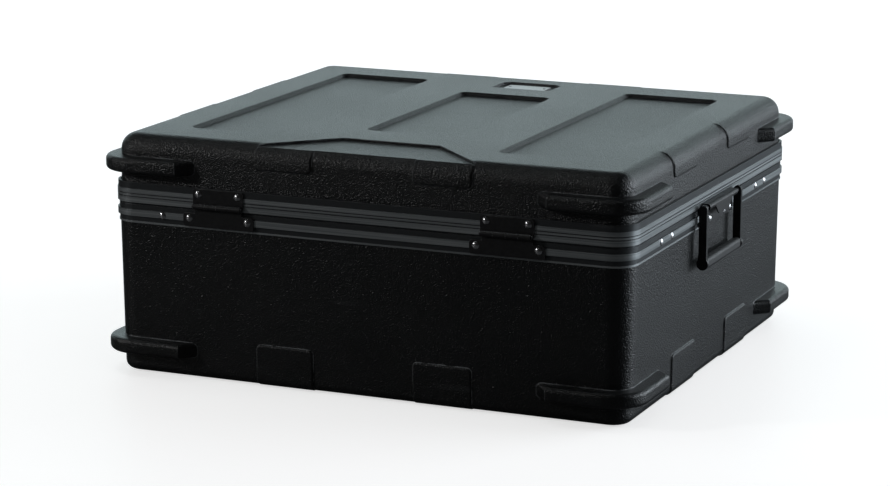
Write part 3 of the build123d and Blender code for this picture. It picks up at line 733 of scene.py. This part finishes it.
@dataclass
class Latches:
    """The two key latches on the front."""

    steel_finish: MetalFinish = replace(
        BLACK_STEEL, name="latch_black_steel",
        light=(0.011, 0.011, 0.012), metallic=0.25, edge_wear=0.6,
    )
    plug_finish: MetalFinish = MetalFinish(
        "key_plug_nickel", (0.50, 0.50, 0.51), (0.60, 0.60, 0.61),
        metallic=1.0, roughness=0.24, edge_wear=0.2,
    )
    pin_finish: MetalFinish = replace(PIN_STEEL, name="latch_pin_steel")
    slide_finish: MouldedFinish = MouldedFinish(
        "slide_plastic", (0.014, 0.014, 0.015), (0.022, 0.022, 0.023),
        grain=Grain.FINE, cells=1800.0, depth=0.00004, roughness=0.45, edge_radius=0.0004,
    )

    def build(self, effects: Effects) -> list[str]:
        """Dress the latches and return their names."""
        steel = self.steel_finish.build(effects)
        materials = {
            "case": steel,
            "plate": steel,
            "hasp": steel,
            "plug": self.plug_finish.build(effects),
            "pin": self.pin_finish.build(effects),
            "slide": self.slide_finish.build(effects),
        }
        return dress({
            f"latch_{side}_{part}": material
            for side in ("a", "b") for part, material in materials.items()
        })


@dataclass
class Fasteners:
    """Rivets of both bodies and the pins of the nameplate."""

    rivet_finish: MetalFinish = MetalFinish(
        "rivet_black_steel", (0.44, 0.44, 0.45), (0.60, 0.60, 0.61),
        metallic=1.0, roughness=0.20, edge_wear=0.0, lay_depth=0.000004,
    )
    pin_finish: MetalFinish = MetalFinish(
        "nameplate_pin_steel", (0.30, 0.30, 0.31), (0.42, 0.42, 0.43),
        metallic=1.0, roughness=0.25, edge_wear=0.3,
    )

    def build(self, effects: Effects) -> list[str]:
        """Dress the fasteners and return their names."""
        rivet = self.rivet_finish.build(effects)
        pins = self.pin_finish.build(effects)
        return dress({"base_rivets": rivet, "lid_rivets": rivet, "nameplate_pins": pins})


@dataclass
class Nameplate:
    """The bare plate in the roof."""

    finish: MetalFinish = MetalFinish(
        "nameplate_satin", (0.52, 0.52, 0.53), (0.66, 0.66, 0.67),
        metallic=0.7, roughness=0.34, edge_wear=0.3,
    )

    def build(self, effects: Effects) -> list[str]:
        """Dress the plate and return its name."""
        return dress({"nameplate": self.finish.build(effects)})


@dataclass
class SoftBox:
    """One rectangular lamp."""

    name: str
    place: Point
    target: Point
    width: float
    height: float
    radiance: float
    tint: Colour = (1.0, 1.0, 1.0)

    def build(self) -> None:
        """Hang the lamp and aim it; its power is its radiance times pi times its area."""
        data = bpy.data.lights.new(self.name, "AREA")
        data.shape = "RECTANGLE"
        data.size = self.width
        data.size_y = self.height
        data.energy = self.radiance * np.pi * self.width * self.height
        data.color = self.tint
        lamp = new_object(self.name, data)
        lamp.location = self.place
        aim = Vector(self.target) - Vector(self.place)
        lamp.rotation_euler = aim.to_track_quat("-Z", "Y").to_euler()
        lamp.visible_camera = False


@dataclass
class Studio:
    """Pale floor, soft lamps, pale background and the camera."""

    floor_half: float = 14.0
    floor_colour: Colour = (0.90, 0.90, 0.90)
    floor_roughness: float = 0.5
    speck_scale: float = 30.0
    speck_gain: float = 0.02
    bounce_colour: Colour = (0.07, 0.072, 0.075)
    ambient: float = 0.34
    gloss_ambient: float = 0.012
    glow_strength: float = 2.0
    glow_share: float = 0.32
    camera_place: Point = (-1.28952, 3.00233, 0.85146)
    look_turn: float = np.radians(-23.56)
    look_drop: float = np.radians(12.66)
    focal_px: float = 2920.02
    image_px: int = 890
    sensor_mm: float = 36.0
    lamps: tuple[SoftBox, ...] = (
        SoftBox(
            "back_wall_lamp", (1.3, -2.9, 0.80), (0.0, 0.0, 0.25), 5.0, 1.6, 1.22,
            tint=(0.80, 0.97, 1.0),
        ),
        SoftBox(
            "side_wall_lamp", (-2.6, -1.7, 0.80), (0.0, 0.0, 0.15), 2.6, 1.5, 6.80,
            tint=(0.85, 0.93, 1.0),
        ),
        SoftBox(
            "overhead_lamp", (0.75, 0.25, 2.3), (0.0, 0.0, 0.2), 0.9, 0.5, 2.6,
            tint=(0.93, 0.99, 1.0),
        ),
        SoftBox("small_key_lamp", (2.3, 1.8, 1.25), (0.0, 0.0, 0.2), 0.25, 0.25, 85.0),
    )

    def build_floor(self) -> None:
        """Lay the floor: a flat square, almost white to the camera, that keeps its shadow."""
        half = self.floor_half
        corners = [(-half, -half, 0), (half, -half, 0), (half, half, 0), (-half, half, 0)]
        mesh = bpy.data.meshes.new("floor")
        mesh.from_pydata(corners, [], [(0, 1, 2, 3)])
        floor = new_object("floor", mesh)
        material, graph, shader = blank_material("pale_floor")
        coords = graph.add("ShaderNodeTexCoord").outputs["Object"]
        speck = graph.noise(coords, self.speck_scale, 3.0)
        paler = tuple(channel + self.speck_gain for channel in self.floor_colour)
        seen = graph.add("ShaderNodeLightPath").outputs["Is Camera Ray"]
        pale = graph.blend(speck, self.floor_colour, paler)
        graph.link(graph.blend(seen, self.bounce_colour, pale), shader.inputs["Base Color"])
        shader.inputs["Roughness"].default_value = self.floor_roughness
        light = {"Color": (1.0, 1.0, 1.0, 1.0), "Strength": self.glow_strength}
        glow = graph.add("ShaderNodeEmission", light)
        share = graph.math("MULTIPLY", seen, self.glow_share)
        both = {0: share, 1: shader.outputs[0], 2: glow.outputs[0]}
        mixed = graph.add("ShaderNodeMixShader", both)
        output = next(node for node in graph.tree.nodes if node.type == "OUTPUT_MATERIAL")
        graph.link(mixed.outputs[0], output.inputs["Surface"])
        mesh.materials.append(material)

    def build_world(self) -> None:
        """Make the surroundings: dim for light, white where the camera looks past the case."""
        world = bpy.data.worlds.new("studio_air")
        bpy.context.scene.world = world
        world.use_nodes = True
        world.node_tree.nodes.clear()
        graph = Graph(world.node_tree)
        path = graph.add("ShaderNodeLightPath")
        seen = graph.math("MULTIPLY", path.outputs["Is Camera Ray"], 1.0 - self.gloss_ambient)
        extra = self.ambient - self.gloss_ambient
        soft = graph.math("MULTIPLY", path.outputs["Is Diffuse Ray"], extra)
        strength = graph.math("ADD", self.gloss_ambient, graph.math("ADD", seen, soft))
        white = {"Color": (1.0, 1.0, 1.0, 1.0), "Strength": strength}
        air = graph.add("ShaderNodeBackground", white)
        graph.add("ShaderNodeOutputWorld", {"Surface": air.outputs[0]})

    def build_camera(self) -> None:
        """Set up the camera that the photograph's straight edges gave."""
        turn, drop = self.look_turn, self.look_drop
        ahead = Vector((-np.sin(turn) * np.cos(drop), -np.cos(turn) * np.cos(drop), -np.sin(drop)))
        right = Vector((-np.cos(turn), np.sin(turn), 0.0))
        up = right.cross(ahead)
        turned = Matrix((right, up, -ahead)).transposed().to_4x4()
        data = bpy.data.cameras.new("camera")
        data.sensor_width = self.sensor_mm
        data.lens = self.focal_px * self.sensor_mm / self.image_px
        camera = new_object("camera", data)
        camera.matrix_world = Matrix.Translation(self.camera_place) @ turned
        bpy.context.scene.camera = camera

    def build(self) -> list[str]:
        """Build the whole studio and return what it holds."""
        self.build_floor()
        self.build_world()
        self.build_camera()
        for lamp in self.lamps:
            lamp.build()
        bpy.context.scene.view_settings.view_transform = "Standard"
        return ["floor", "world", "camera"] + [lamp.name for lamp in self.lamps]


def main() -> None:
    """Build the studio, dress the case and report each piece."""
    log.info("studio: %s", ", ".join(Studio().build()))
    effects = Effects()
    dressed = (Shells(), EdgeRings(), Hinges(), BailHandles(), Latches(), Fasteners(), Nameplate())
    for assembly in (*dressed, FoamLining()):
        log.info("%s: %s", type(assembly).__name__, ", ".join(assembly.build(effects)))


if __name__ == "__main__":
    logging.basicConfig(level=logging.INFO, format="%(message)s")
    main()
